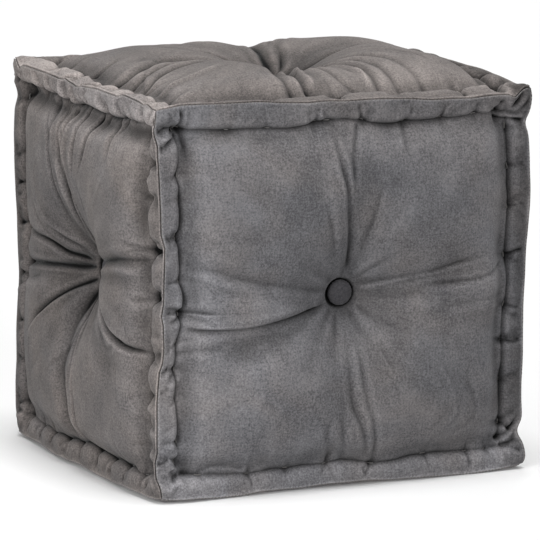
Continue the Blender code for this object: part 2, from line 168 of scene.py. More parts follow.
# Folds drawn on the cloth, in millimetres from each panel's button: depth (a ridge where it is negative),
# width, lean (above 0 where the side on the left of the line's way is the gentler), then the line's places,
# right and up in turn.
FOLDS = {
    "front": (
        (5.6, 2.6, 0.5, -12, -8, -50, -14, -92, -21, -128, -25, -163, -25, -184, -23),
        (2.2, 1.5, 0.0, -14, -5, -50, -11, -88, -18, -116, -22),
        (1.8, 9.0, 0.0, -12, -12, -60, -22, -120, -30),
        (-1.2, 4.0, 0.0, -20, -3, -69, -9, -104, -15, -145, -18, -180, -17),
        (2.8, 4.6, 0.2, -182, 40, -155, 35, -128, 27, -100, 21, -70, 17, -36, 8, -14, 3),
        (-1.4, 3.5, 0.0, -180, 31, -167, 28, -147, 20, -118, 13),
        (-1.6, 2.6, 0.0, -22, 176, -22, 149, -19, 128, -14, 110, -11, 88),
        (3.2, 3.4, 0.3, -21, 162, -16, 136, -10, 110, -6, 80, -1, 52, 4, 18),
        (-1.6, 2.4, 0.0, -20, 174, -12, 153, -8, 134, -4, 107, 0, 82),
        (2.8, 2.8, 0.0, 13, 178, 4, 153, 0, 140, -1, 120, 0, 100),
        (-1.4, 3.5, 0.0, 57, 176, 52, 153, 56, 138),
        (1.6, 3.4, 0.0, 63, 176, 58, 153, 62, 138),
        (2.0, 3.6, 0.0, 34, 124, 24, 85, 17, 60, 10, 28),
        (1.6, 3.0, 0.0, -40, 112, -29, 82, -20, 52, -11, 26),
        (2.4, 9.0, 0.0, -9, 120, -4, 80, 0, 52, 3, 20),
        (1.8, 3.2, 0.0, 50, 44, 27, 28, 12, 14),
        (2.4, 2.6, 0.3, 14, 5, 34, 13, 64, 19, 84, 22, 106, 26, 121, 29, 144, 31, 168, 37),
        (2.2, 2.6, -0.2, 70, 9, 102, 9, 121, 9, 145, 10, 162, 13, 184, 22),
        (-0.7, 3.6, 0.0, 77, 2, 106, 2, 137, 4, 166, 9),
        (1.2, 4.4, 0.0, 18, -3, 51, -3, 84, -2, 112, -1),
        (1.4, 5.0, 0.2, 88, -17, 131, -14, 184, -14),
        (3.6, 2.0, 0.5, -206, -7, -190, -8, -170, -8, -140, -9),
        (2.0, 3.2, 0.0, -188, -50, -170, -46, -138, -43),
        (2.0, 5.0, 0.0, -5, -18, -14, -50, -17, -76),
        (3.2, 3.4, 0.0, 0, -28, 0, -80, 2, -113, 10, -134, 26, -176),
        (2.8, 3.0, 0.0, 10, -34, 16, -98, 23, -130, 33, -176),
        (2.2, 3.6, 0.0, -25, -118, -28, -144, -18, -178),
        (2.0, 3.2, 0.0, -10, -106, -11, -138, -2, -178),
        (1.8, 5.0, 0.0, 15, -13, 30, -23, 62, -40),
        (1.2, 6.0, 0.0, 16, -45, 34, -85, 46, -116),
        (1.2, 5.0, 0.0, -33, 92, -28, 72, -16, 30),
        (6.4, 3.2, 0.4, -209, 174, -200, 177, -190, 179, -182, 176),
        (6.4, 3.2, -0.3, -209, 159, -200, 162, -190, 168, -182, 171),
        (-2.4, 2.2, 0.0, -206, 167, -194, 173, -184, 172, -180, 164, -182, 154),
        (3.0, 2.2, 0.4, -209, -160, -202, -160, -195, -155),
        (3.6, 3.0, 0.0, -193, -166, -191, -174, -192, -182),
        (2.4, 2.4, 0.0, -208, -67, -202, -66, -196, -62),
        (1.6, 2.4, 0.0, -207, -88, -201, -86, -196, -82),
        (2.2, 3.6, 0.0, -206, 70, -199, 66, -193, 68, -189, 76),
        (5.4, 2.4, -0.5, 168, 170, 176, 168, 189, 169, 202, 168, 209, 168),
        (2.6, 2.6, 0.0, 178, 172, 190, 184, 197, 198),
        (2.0, 2.4, 0.0, 180, 171, 196, 178, 206, 188),
        (5.2, 2.8, 0.3, 180, -170, 190, -162, 206, -151),
        (2.6, 2.6, 0.0, 182, -174, 192, -176, 206, -181),
        (2.2, 2.6, 0.0, 186, -60, 196, -61, 208, -62),
        (1.8, 2.4, 0.0, 186, 25, 194, 31, 206, 33),
        (2.0, 2.8, 0.4, -165, -173, -150, -167, -135, -166, -112, -172),
    ),
    "left": (
        (2.2, 9.0, 0.0, -178, 28, -79, 22, -16, 6),
        (4.2, 3.2, 0.4, -178, 30, -123, 29, -79, 25, -54, 14, -36, 10, -16, 6),
        (-1.6, 3.0, 0.0, -84, 52, -54, 40, -37, 31, -16, 22),
        (1.8, 3.2, 0.0, -76, 46, -54, 35, -36, 26, -16, 17),
        (-1.4, 3.4, 0.0, -70, 170, -58, 150, -48, 134, -40, 115, -31, 100, -24, 75, -18, 54, -10, 34, -4, 20),
        (3.2, 2.4, 0.3, -53, 170, -42, 150, -36, 136, -32, 115, -25, 98, -18, 75, -13, 54, -6, 34),
        (2.4, 2.0, 0.0, -92, 166, -78, 152, -62, 134, -50, 110, -40, 84, -30, 58, -23, 34),
        (3.8, 2.8, 0.3, -30, 168, -22, 144, -16, 119, -11, 96, -6, 76, -4, 54, 1, 22),
        (4.6, 5.0, 0.0, -20, 178, -19, 156, -19, 139, -20, 116, -14, 88, -9, 60),
        (-1.8, 3.4, 0.0, -6, 168, -7, 152, -8, 126, -4, 100),
        (4.0, 2.6, 0.2, 48, 178, 43, 160, 42, 146, 38, 128, 30, 106),
        (3.4, 2.4, 0.2, 10, 178, 14, 162, 16, 145, 14, 121, 10, 98),
        (3.0, 2.4, 0.2, -42, 178, -44, 166, -28, 142, -23, 120),
        (3.0, 3.4, 0.0, 84, 178, 93, 162, 100, 144, 102, 122),
        (3.0, 4.0, 0.0, -80, 178, -73, 160, -64, 149, -56, 128),
        (2.6, 8.0, 0.0, -178, -14, -113, -5, -58, -2, -14, 1),
        (5.4, 2.6, 0.2, -178, -13, -137, -8, -113, -4, -79, -2, -58, -1, -38, -1, -14, 1),
        (2.2, 3.6, 0.0, -178, -28, -130, -22, -86, -13),
        (4.2, 2.4, 0.2, -124, -80, -100, -58, -82, -46, -63, -34, -46, -24, -28, -16, -14, -9),
        (5.0, 8.0, 0.0, -8, -12, -15, -28, -22, -54, -22, -69, -21, -86, -24, -103, -20, -118, -12, -140,
         -8, -178),
        (3.4, 2.2, 0.2, -12, -18, -9, -30, -7, -47, -5, -66, -2, -89, -1, -116, 2, -150, 2, -178),
        (4.4, 2.6, 0.2, -6, -26, 2, -52, 8, -70, 13, -89, 19, -106, 22, -126, 20, -146, 12, -178),
        (3.0, 3.4, 0.0, 4, -14, 24, -24, 52, -34, 88, -52, 118, -60),
        (2.2, 8.0, 0.0, 10, -8, 40, -14, 64, -20, 90, -32, 106, -38, 122, -45, 143, -50, 178, -52),
        (4.8, 3.0, 0.3, 10, -8, 40, -14, 66, -20, 90, -33, 106, -42, 133, -50, 160, -51, 178, -51),
        (3.8, 5.0, 0.0, 12, 6, 60, 20, 104, 31, 134, 38, 178, 44),
        (-1.8, 3.4, 0.0, 20, 3, 60, 12, 98, 22, 136, 28, 170, 27),
        (2.2, 3.4, 0.0, 150, 0, 184, 5),
        (2.6, 3.8, 0.3, -168, 201, -174, 187, -170, 173),
        (2.2, 4.6, 0.3, -131, 201, -128, 187, -112, 173),
        (2.0, 4.0, 0.3, -100, 201, -99, 187, -88, 173),
        (3.8, 4.4, 0.5, -60, 201, -63, 187, -47, 172),
        (2.8, 4.0, 0.4, -33, 201, -33, 188, -12, 172),
        (3.4, 4.4, 0.5, 10, 201, 2, 187, 17, 172),
        (3.6, 4.4, 0.4, 48, 201, 48, 187, 71, 172),
        (3.2, 4.2, 0.4, 94, 201, 90, 187, 104, 172),
        (2.4, 3.8, 0.3, 122, 201, 120, 187, 134, 172),
        (3.0, 4.0, 0.3, 156, 201, 153, 188, 166, 173),
        (3.4, 3.4, 0.3, 188, 201, 182, 188, 186, 174),
        (4.6, 3.2, 0.3, 210, 199, 204, 190, 197, 181),
        (4.0, 3.6, 0.3, -210, 184, -198, 179, -184, 176),
    ),
    "top": (
        (3.4, 20.0, 0.0, -70, 150, -40, 140),
        (2.8, 18.0, 0.0, 30, 150, 60, 146),
        (4.0, 5.5, 0.0, -186, -27, -156, -24, -116, 4, -84, 16, -50, 16, -12, 6),
        (2.8, 3.6, 0.0, -186, -58, -161, -51, -146, -45, -125, -38, -80, -26),
        (3.2, 3.8, 0.0, -184, -94, -146, -68, -124, -59, -104, -52, -64, -34),
        (-1.8, 3.4, 0.0, -184, -130, -152, -118, -120, -104, -90, -84),
        (4.4, 4.6, 0.0, 36, 130, 27, 95, 14, 58, 10, 34, 4, 14),
        (3.2, 4.0, 0.0, 44, 84, 31, 48, 19, 24, 10, 12),
        (3.6, 6.0, 0.0, 12, 3, 50, 8, 95, 16, 150, 24),
        (4.6, 3.8, 0.4, -4, -12, -14, -50, -26, -92, -34, -130, -34, -160, -28, -185),
        (-2.2, 3.0, 0.0, 0, -30, -6, -60, -16, -100, -24, -134, -24, -170),
        (2.8, 3.8, 0.0, -10, -14, -30, -70, -46, -110, -52, -140, -48, -184),
        (1.8, 3.6, 0.0, 2, -16, 2, -60, 4, -110, 8, -148, 17, -166, 32, -184),
        (2.2, 3.6, 0.0, 10, -12, 34, -60, 47, -108, 50, -140, 50, -160, 52, -185),
        (-1.6, 3.2, 0.0, 24, -60, 38, -108, 41, -150, 42, -176),
        (1.8, 3.6, 0.0, 12, -8, 46, -56, 64, -110, 69, -150, 74, -185),
        (1.8, 3.4, 0.0, 40, -30, 78, -90, 96, -150, 100, -184),
        (3.0, 2.4, 0.4, -183, 40, -196, 50, -209, 62),
        (2.6, 2.4, 0.4, -183, -24, -197, -8, -209, 10),
        (2.4, 2.4, 0.4, -183, -98, -196, -95, -209, -88),
        (1.4, 2.4, 0.0, -188, -52, -209, -44),
        (2.4, 2.4, 0.3, -184, -153, -196, -156, -209, -162),
    ),
}
# The hidden panels take folds of the same kind: from which panel, mirrored how, and whether turned on end.
BORROWED = {"back": ("front", -1, 1, False), "right": ("top", 1, -1, True)}

# The cube's edges, each known by its side of the cube along X, Y and Z, and those that the tables name.
EDGES = [edge for edge in itertools.product((-1, 0, 1), repeat=3) if edge.count(0) == 1]
FRONT_LEFT, FRONT_RIGHT, BACK_LEFT = (-1, -1, 0), (1, -1, 0), (-1, 1, 0)
TOP_FRONT, TOP_BACK, TOP_LEFT, TOP_RIGHT = (0, -1, 1), (0, 1, 1), (-1, 0, 1), (1, 0, 1)
FOOT_FRONT, FOOT_LEFT = (0, -1, -1), (-1, 0, -1)

# Where the hand stitches hold each panel's side of a rolled edge, and how hard they pull it in, as read from
# the photo: millimetres from the middle of the edge, then the pull.
STITCHES = {
    ("front", FRONT_LEFT): (
        176, 0.8, 132, 0.35, 106, 0.15, 68, 0.5, 25, 0.45, -9, 1.0, -37, 0.3, -64, 0.5, -92, 0.2,
        -138, 0.4, -160, 0.7),
    ("left", FRONT_LEFT): (
        176, 0.5, 143, 0.8, 106, 0.45, 54, 1.3, 8, 0.9, -52, 0.4, -92, 0.4, -121, 0.35, -142, 0.35,
        -165, 0.5),
    ("front", TOP_FRONT): (
        -180, 1.0, -130, 0.1, -86, 0.25, -34, 0.45, -20, 0.35, 18, 0.6, 65, 0.35, 106, 0.45, 145, 0.4,
        172, 0.8),
    ("top", TOP_FRONT): (-180, 0.6, -141, 0.9, -80, 0.2, -8, 0.9, 60, 0.3, 132, 0.8, 175, 0.9),
    ("left", TOP_LEFT): (148, 0.3, 115, 0.3, 54, 0.6, 4, 0.5, -60, 0.6, -109, 0.5, -160, 0.4),
    ("top", TOP_LEFT): (110, 0.6, 44, 1.0, -23, 1.0, -60, 0.3, -97, 0.8, -153, 0.8),
    ("front", FRONT_RIGHT): (
        160, 0.3, 119, 0.3, 77, 0.3, 26, 0.55, -25, 0.45, -62, 0.55, -104, 0.2, -150, 0.9),
    ("front", FOOT_FRONT): (
        -162, 0.3, -108, 0.6, -64, 0.4, -21, 0.45, 32, 0.7, 92, 0.3, 142, 0.6, 166, 0.5),
    ("left", FOOT_LEFT): (
        162, 0.5, 122, 0.6, 84, 0.5, 44, 0.7, 4, 0.5, -38, 0.6, -78, 0.5, -118, 0.6, -158, 0.5),
    ("left", BACK_LEFT): (160, 0.4, 105, 0.4, 70, 0.8, 31, 0.8, -28, 0.8, -75, 0.5, -120, 0.5, -160, 0.6),
}
# On the other edges: how far apart the hand stitches are, and how far each is off its place at most.
STITCH_PITCH = 0.048
STITCH_JITTER = 0.009
# How full a roll stands between its stitches on each panel that it joins, and how deep a valley lies between
# it and the panel's swell.
ROLLS = {
    ("front", FRONT_LEFT): (0.30, 1.0), ("left", FRONT_LEFT): (1.00, 0.8),
    ("front", TOP_FRONT): (0.10, 0.4), ("top", TOP_FRONT): (0.45, 0.5),
    ("left", TOP_LEFT): (0.25, 1.3), ("top", TOP_LEFT): (0.80, 0.8),
    ("front", FRONT_RIGHT): (0.22, 1.0), ("front", FOOT_FRONT): (0.12, 0.5),
    ("left", FOOT_LEFT): (0.60, 0.5), ("left", BACK_LEFT): (0.60, 1.1), ("top", TOP_RIGHT): (0.90, 1.1),
}
USUAL_ROLL = (0.45, 0.5)
# Painted light and shade on the rolls: how much paler each is painted where more light falls on it, or
# darker, below 0, where it lies in shade.
PAINTED_ROLL_LIGHT = {TOP_LEFT: 4.6, FRONT_RIGHT: -2.9, TOP_FRONT: -0.5, FOOT_FRONT: 2.3, FRONT_LEFT: -0.3,
              BACK_LEFT: -2.6, TOP_RIGHT: -3.2, TOP_BACK: -1.4}

# How each panel's cloth looks: how much deeper than drawn its folds lie, how many fine folds run between
# them, how much darker its hollows are (partly dye, partly painted shade), how much painted shade darkens the
# whole of it, how warm its grey is, and wide patches of painted light and shade: place and size in
# millimetres, and how much paler, or darker below 0.
Wear = namedtuple("Wear", "fold_depth fine_folds hollows shade warmth patches")
CLOTH_LOOKS = {
    "front": Wear(1.00, 7, 1.00, 0.00, 0.15, (
        (-120, -100, 90, 1.10), (-60, 20, 50, 0.20), (85, -100, 70, -0.45))),
    "back": Wear(1.00, 14, 1.00, 0.00, 0.50, ()),
    "left": Wear(1.30, 16, 1.35, 0.16, 0.85, (
        (140, 60, 65, -1.20), (-105, 0, 70, -0.90), (70, -110, 60, 0.40))),
    "right": Wear(1.00, 14, 1.00, 0.00, 0.30, ()),
    "top": Wear(1.45, 16, 1.60, 0.12, 1.15, (
        (80, -150, 80, 0.90), (-150, 0, 90, -1.00), (-60, -150, 50, -0.40), (105, 180, 70, -0.70))),
    "bottom": Wear(1.00, 6, 1.00, 0.00, 0.50, ()),
}

# Where the seam itself strays from its edge, in millimetres: the place along the edge, then the shift.
SEAM_PATHS = {
    FRONT_LEFT: (
        200, 0, 190, -4, 179, -4.6, 161, -1.4, 136, -0.6, 98, 0.6, 73, 0.6, 60, 4.4, 34, 3.9, 3, 3.0,
        -9, 1.2, -19, 3.7, -41, 4.5, -57, 3.8, -66, 0.8, -92, 0, -121, -1.4, -148, -2.2, -159, -5.4,
        -176, -5, -200, 0),
    TOP_FRONT: (
        202, 0.3, 194, -3.4, 188, -6.6, 180, -3.9, 172, -3.4, 138, -3.6, 110, -1.3, 64, 0.5, 20, -0.4,
        0, -0.3, -29, 1.9, -40, 2.2, -60, 4.4, -85, 6.3, -100, 6.3, -110, 5.5, -135, 3.9, -150, 3.1,
        -172, 2.7, -190, 0.8, -202, -0.7),
    TOP_LEFT: (
        202, -3, 188, -6, 172, -5, 160, -4, 147, -3.2, 108, -2, 67, -2.2, 58, 0.8, 12, -3.3, 0, 0,
        -46, 0.8, -90, -1.5, -100, 2, -160, 0.8, -168, 3.4, -202, 0),
}

# Where each form across a rolled edge lies: how far in from the seam, and how wide it is.
SEAM_GROOVE = (0.0, 0.0008)
SEAM_LIP = (0.0023, 0.0012)
SEAM_RIDGE = (0.0, 0.0060)
SEAM_REACH = (0.0, 0.0120)
CREST = (ROLL_RADIUS, 0.0100)
UNDERSIDE = (0.0200, 0.0045)
SIDE_SLIDE = (0.0230, 0.0120)
TUCK_FILL = (ROLL_WIDTH, 0.0050)
TUCK = (ROLL_WIDTH + 0.0015, 0.0032)
STITCH_DIP = (ROLL_WIDTH + 0.0020, 0.0070)
VALLEY = (ROLL_WIDTH + 0.0090, 0.0090)
# How far each of them stands out or lies in.
PUFF_HEIGHT = 0.0040
LUMP_HEIGHT = 0.0012
CRUMPLE_HEIGHT = 0.0007
UNDERSIDE_HEIGHT = 0.0014
UNDERSIDE_LUMP = 0.0010
TUCK_FILL_HEIGHT = 0.0026
TUCK_DEPTH = 0.0024
VALLEY_DEPTH = 0.0060
SEAM_RIDGE_HEIGHT = 0.0020
# Along a roll: half the length of a stitch's pinch, and how far off the cloth stands full again.
PINCH_LENGTH = 0.0055
PUFF_LENGTH = 0.0180

# A fold's reach in its own widths, and its shoulders' height as a share of its depth.
FOLD_REACH = 4.5
SHOULDER = 0.18
# Where the cloth's grid lines run by the seam, how far apart they are on the roll, and where that ends.
SEAM_STOPS = (0.0, 0.0005, 0.0010, 0.0016, 0.0022, 0.0029, 0.0037, 0.0046, 0.0056, 0.0067, 0.0079)
ROLL_SPACING = 0.0012
ROLL_STOPS_END = 0.034
# Where round the button its collar of cloth stands open, and where it stands highest, in radians.
COLLAR_OPEN = 2.9
COLLAR_HIGH = 2.3
DRAWN_DEPTH = 0.045  # the depth at which the cloth counts as wholly drawn in
# How wide the cloth round a point is to which its height is compared: for ridges, then for hollows.
RIDGE_SIZE, HOLLOW_SIZE, WIDE_HOLLOW_SIZE = 0.003, 0.008, 0.024
# From the seam in to its thread, and from stitch to stitch in stitches' lengths.
SEAM_THREAD_IN = 0.0021
SEAM_PITCH = 1.28
THREAD_END = 0.35  # how thin a thread's ends are, as a share of its radius
NO_THREADS_WAY = np.array((0.31, 0.53, 0.79))  # a direction in which no thread runs
BUTTON_SIDES = 72
# Where the cloth beside a seam is washed paler, where painted shade darkens the seam's groove, and where a
# ring of painted shadow lies in the gap round a button: place and width.
PALE_LIP = (0.0024, 0.0011)
PAINTED_SEAM_SHADE = (0.0, 0.0009)
PAINTED_GAP_SHADOW = (BUTTON_RADIUS + 0.0018, 0.0020)
# The panels that the photo shows, and how much wider apart the grid lines are on the others.
SHOWN = ("front", "left", "top")
HIDDEN_SPACING = 1.5
# Numbers without a pattern, which the noise is drawn from.
NOISE_KEYS = np.array((127.1, 311.7, 74.7))
NOISE_SEED = 53.3
NOISE_SCATTER = 43758.5453

# The camera, fitted to the photo: lens in millimetres, distance in metres, degrees round from the front and
# up from level, the height it looks at, and its shift as a share of the picture's width.
CAMERA_LENS = 249.7
CAMERA_AWAY = 4.0
CAMERA_ANGLE = -24.85
CAMERA_RISE = 8.82
CAMERA_HEIGHT = 0.2
CAMERA_SHIFT = (4.4 / 540, -3.05 / 540)
# The studio's light: the room's own, the soft suns (degrees round and up, strength) and the key lamp.
ROOM_LIGHT = 0.28
SUNS = {"overhead": (0.0, 84.0, 2.05), "fill": (10.0, 14.0, 1.1), "back": (160.0, 30.0, 0.6)}
SUN_SOFTNESS = 30.0
KEY_PLACE = (-1.05, -0.75, 0.38)
KEY_SIZE = 0.7
KEY_POWER = 8.6


# ---------------------------------------------------------------- arithmetic on arrays

def smooth_step(value):
    """Rises smoothly from 0 to 1 as value does."""
    value = np.clip(value, 0.0, 1.0)
    return value * value * (3 - 2 * value)


def bell(value, middle, width):
    """A bell curve: 1 in the middle, and near 0 from twice its width on."""
    return np.exp(-(((value - middle) / width) ** 2))


def noise(points, size, seed):
    """Smooth unevenness from -1 to 1, its bumps about size apart."""
    cell = np.asarray(points) / size
    base = np.floor(cell)
    part = smooth_step(cell - base)
    total = 0.0
    for corner in itertools.product((0, 1), repeat=cell.shape[-1]):
        key = (base + corner) @ NOISE_KEYS[:cell.shape[-1]] + seed * NOISE_SEED
        scatter = np.sin(key) * NOISE_SCATTER
        weight = np.prod(np.where(corner, part, 1 - part), axis=-1)
        total = total + (2 * (scatter - np.floor(scatter)) - 1) * weight
    return total


def draw_line(places, steps=5):
    """A fold's places, right and up in millimetres, as a smooth curve in metres."""
    knots = np.array(places, float).reshape(-1, 2) * MM
    if len(knots) < 3:
        return knots
    padded = np.vstack((2 * knots[0] - knots[1], knots, 2 * knots[-1] - knots[-2]))
    line = [knots[0]]
    for a, b, c, d in zip(padded, padded[1:], padded[2:], padded[3:]):
        for part in np.arange(1, steps + 1) / steps:
            line.append(0.5 * (2 * b + (c - a) * part + (2 * a - 5 * b + 4 * c - d) * part ** 2
                               + (3 * b - a - 3 * c + d) * part ** 3))
    return np.array(line)


def spread(stops, size):
    """Weights that even a grid's rows out over this size."""
    weights = np.exp(-(((stops[:, None] - stops) / size) ** 2)) * np.gradient(stops)
    return weights / weights.sum(1)[:, None]


# depth, width and lean are as in FOLDS, but in metres; line is its curve, and start and end say how soon it
# reaches its depth from either end.
Fold = namedtuple("Fold", "depth width line start end lean")


def press_fold(height, right, up, fold):
    """Adds a fold to the heights: a sharp valley with raised shoulders, or a ridge if depth is below 0."""
    depth, width, line, start, end, lean = fold
    reach = FOLD_REACH * width
    low, high = line.min(0) - reach, line.max(0) + reach
    near = np.flatnonzero((right > low[0]) & (right < high[0]) & (up > low[1]) & (up < high[1]))
    if not near.size:
        return
    points = np.stack((right[near], up[near]), 1)
    nearest = np.full(len(points), np.inf)
    signed = np.zeros(len(points))
    run = np.zeros(len(points))
    lengths = np.hypot(*np.diff(line, axis=0).T)
    done = np.concatenate(((0.0,), np.cumsum(lengths)))
    for place, step, size, before in zip(line, np.diff(line, axis=0), lengths, done):
        part = np.clip((points - place) @ step / size ** 2, 0.0, 1.0)
        gap = points - place - part[:, None] * step
        distance = np.hypot(*gap.T)
        closer = distance < nearest
        nearest = np.where(closer, distance, nearest)
        signed = np.where(closer, distance * np.sign(step[0] * gap[:, 1] - step[1] * gap[:, 0]), signed)
        run = np.where(closer, (before + part * size) / done[-1], run)
    uneven = 1 + 0.25 * np.sin(run * 9 + depth * 700 + line[0, 0] * 400)
    across = np.abs(signed) / (width * np.where(signed > 0, 1 + lean, 1 - lean))
    shoulder = SHOULDER * np.where(signed > 0, 1 - lean, 1 + lean)
    shape = shoulder * bell(across, 2.2, 0.95) - np.exp(-(across ** 1.35))
    height[near] += depth * uneven * smooth_step(run * start) * smooth_step((1 - run) * end) * shape


# ---------------------------------------------------------------- the sewn cube

def axis_of(direction):
    """Which axis, 0 to 2, a direction lies along."""
    return int(np.flatnonzero(direction)[0])


def channel(distance):
    """How far the cloth has sunk, this far in from the seam, between the roll's crest and its channel."""
    past_crest = np.clip(distance - ROLL_RADIUS, 0.0, ROLL_WIDTH - ROLL_RADIUS)
    return ROLL_RADIUS - np.sqrt(ROLL_RADIUS ** 2 - past_crest ** 2)


def swell(place, half, gentle_side):
    """How full the panel stands, from 0 at its channels to 1 in its middle; gentler on one side if told."""
    gentle = place * gentle_side > 0
    short_of_middle = 1 - np.clip((half - np.abs(place) - ROLL_WIDTH) / (half - ROLL_WIDTH), 0.0, 1.0)
    fullness = np.where(gentle, GENTLE_FULLNESS, SWELL_FULLNESS)
    return (1 - short_of_middle ** fullness) ** np.where(gentle, GENTLE_STEEPNESS, SWELL_STEEPNESS)


def crease_depth(crease, right, up):
    """How far one of the main creases draws the cloth in."""
    angle = math.radians(crease.angle)
    along = right * math.cos(angle) + up * math.sin(angle)
    across = up * math.cos(angle) - right * math.sin(angle)
    run = np.clip((along - crease.start) / (crease.reach - crease.start), 0.0, 1.0)
    line = crease.bend * run * run
    ends = smooth_step(run * 6) * smooth_step((1 - run) * 3)
    return crease.depth * ends * np.exp(-(((across - line) / crease.width) ** 2))


def strayed(point):
    """Points of the plain cube, moved as the sewn one's corners, edges and seams stray."""
    share = point / HALF
    moved = point.copy()
    for side, shift in STRAYS:
        weight = np.ones(len(point))
        for axis in range(3):
            part = share[:, axis]
            weight *= np.maximum(0.0, 1 - part * part) if side[axis] == 0 else (1 + side[axis] * part) / 2
        moved += weight[:, None] * np.array(shift)
    for place, size, shift in KNOBS:
        moved += bell(np.linalg.norm(point - place, axis=1), 0.0, size)[:, None] * np.array(shift)
    for axis in range(3):
        across = point[:, (axis + 1) % 3] + SEAM_SLANT * point[:, (axis + 2) % 3]
        wander = SEAM_WANDER * np.sin(math.tau * across / SEAM_WANDER_LENGTH + SEAM_PHASES[axis])
        moved[:, axis] += wander * ((1 + share[:, 2]) / 2 if axis == 2 else 1.0)
    return moved


def channel_wander(along, phase):
    """How far a stitched channel wanders sideways."""
    return sum(size * np.sin(math.tau * along / length + phase) for size, length in CHANNEL_WANDERS)


def laid(place, along, half, half_along, offset, phase):
    """A place on a panel, moved sideways with its wandering channels and with its button."""
    from_seam = half - np.abs(place)
    from_end = half_along - np.abs(along)
    side = np.where(place < 0, -1.0, 1.0)
    past_crest = smooth_step((from_seam - ROLL_RADIUS / 2) / ROLL_RADIUS)
    at_channel = past_crest * smooth_step((CHANNEL_REACH - from_seam) / CHANNEL_FADE)
    off_corner = smooth_step((from_end - ROLL_WIDTH) / CORNER_FADE)
    wander = side * at_channel * off_corner * channel_wander(along, phase + SIDE_PHASE * side)
    return place + wander + offset * smooth_step(np.minimum(from_seam / half, from_end / half_along))


def edge_number(edge):
    """A number for each edge, which sets its random draws apart."""
    return 9 * (edge[0] + 1) + 3 * (edge[1] + 1) + edge[2] + 1


def stitches_on(panel, edge):
    """(places along the edge, how hard each is pulled) of the hand stitches on a panel's side of an edge."""
    if (panel.name, edge) in STITCHES:
        places, pulls = np.array(STITCHES[panel.name, edge]).reshape(-1, 2).T
        return places * MM, pulls
    dice = np.random.default_rng(400 + edge_number(edge))
    half = HALF[edge.index(0)]
    count = round((2 * half - 0.080) / STITCH_PITCH) + 1
    places = np.linspace(0.040 - half, half - 0.040, count) + dice.uniform(-1, 1, count) * STITCH_JITTER
    return places, dice.uniform(0.2, 0.9, count)


def sides_of(panel):
    """(edge, across, sign) of a panel's four sides: across is 1 for those above and below, sign -1 or 1."""
    for across, sign in itertools.product((0, 1), (-1, 1)):
        direction = panel.up if across else panel.right
        edge = tuple(n + sign * d for n, d in zip(panel.normal, direction))
        yield edge, across, sign


def first_panel(edge):
    """The panel, across and sign by which an edge is reached."""
    for panel in PANELS:
        for own, across, sign in sides_of(panel):
            if own == edge:
                return panel, across, sign
    raise ValueError(f"no panel has the edge {edge}")


def roll_folds(panel):
    """The small folds that every stitch gathers across its roll and into the panel."""
    folds = []
    halves = (HALF[axis_of(panel.right)], HALF[axis_of(panel.up)])
    for edge, across, sign in sides_of(panel):
        dice = np.random.default_rng(70 + PANELS.index(panel) * 40 + edge_number(edge))
        full, _ = ROLLS.get((panel.name, edge), USUAL_ROLL)
        flip = (panel.right if across else panel.up)[edge.index(0)]
        half = halves[across]

        def add(depth, width, places, start, end):
            line = [(sign * (half - inward), flip * along) for inward, along in places]
            line = draw_line(np.array(line)[:, ::-1 if across else 1] / MM)
            folds.append(Fold(depth, width, line, start, end, dice.uniform(-0.4, 0.4)))

        places, pulls = stitches_on(panel, edge)
        for place, pull in zip(places, pulls):
            slant = dice.uniform(-0.008, 0.008)
            add(0.0046 * pull, dice.uniform(0.0016, 0.0024),
                ((0.003 + 0.006 * max(0, 0.8 - pull), place + slant), (0.014, place + slant * 0.9),
                 (0.027, place)), 3.0, 6.0)
            for _ in range(dice.integers(1, 3)):
                near = place + dice.choice((-1, 1)) * dice.uniform(0.005, 0.012)
                add(0.0022 * dice.uniform(0.3, 1.0) * (0.4 + pull), dice.uniform(0.0022, 0.0048),
                    ((dice.uniform(0.004, 0.012), near), (0.018, near + slant * 0.3), (0.026, place)),
                    3.0, 4.0)
            for _ in range(dice.integers(1, 4)):
                reach = dice.uniform(0.015, 0.045)
                swing = dice.uniform(-0.5, 0.5) * reach
                add(0.0017 * pull * dice.uniform(0.4, 1.0), dice.uniform(0.0024, 0.0038),
                    ((0.024, place), (0.027 + reach * 0.5, place + swing * 0.4),
                     (0.027 + reach, place + swing)), 8.0, 1.6)
        for place in dice.uniform(-1, 1, 9) * (HALF[edge.index(0)] - 0.03):
            slant = dice.uniform(-0.010, 0.010)
            add(0.0013 * (0.4 + full) * dice.uniform(0.3, 1.1), dice.uniform(0.0026, 0.0044),
                ((0.003, place + slant), (0.013, place + slant * 0.4), (0.024, place - slant * 0.4)),
                3.0, 2.5)
        for end in (-1, 1):
            corner = end * (HALF[edge.index(0)] - 0.026)
            for _ in range(3):
                spot = corner + end * dice.uniform(-0.012, 0.016)
                add(0.0022 * dice.uniform(0.4, 1.0), dice.uniform(0.0022, 0.0034),
                    ((0.004, spot), (0.014, (spot + corner) / 2), (0.027, corner)), 3.0, 5.0)
    return folds


def fine_folds(panel):
    """Fine folds between a panel's main ones, from its button out towards its rolls."""
    dice = np.random.default_rng(1300 + PANELS.index(panel))
    limits = np.array((HALF[axis_of(panel.right)], HALF[axis_of(panel.up)])) - (ROLL_WIDTH - 0.002)
    folds = []
    for _ in range(CLOTH_LOOKS[panel.name].fine_folds):
        start = dice.uniform(0.022, 0.130)
        away = start + dice.uniform(0.030, 0.090) * np.linspace(0, 1, 4)
        turn = dice.uniform(0, math.tau) + dice.uniform(-0.5, 0.5) * np.linspace(0, 1, 4) ** 2
        line = np.stack((np.cos(turn), np.sin(turn)), 1)
        line *= (away / np.abs(line).max(1))[:, None]
        depth = MM * dice.uniform(0.6, 1.8) * dice.choice((-0.6, 1.0, 1.0))
        folds.append(Fold(depth, dice.uniform(0.0017, 0.0030), draw_line(np.clip(line, -limits, limits) / MM),
                          3.0, 2.4, dice.uniform(-0.4, 0.4)))
    return folds


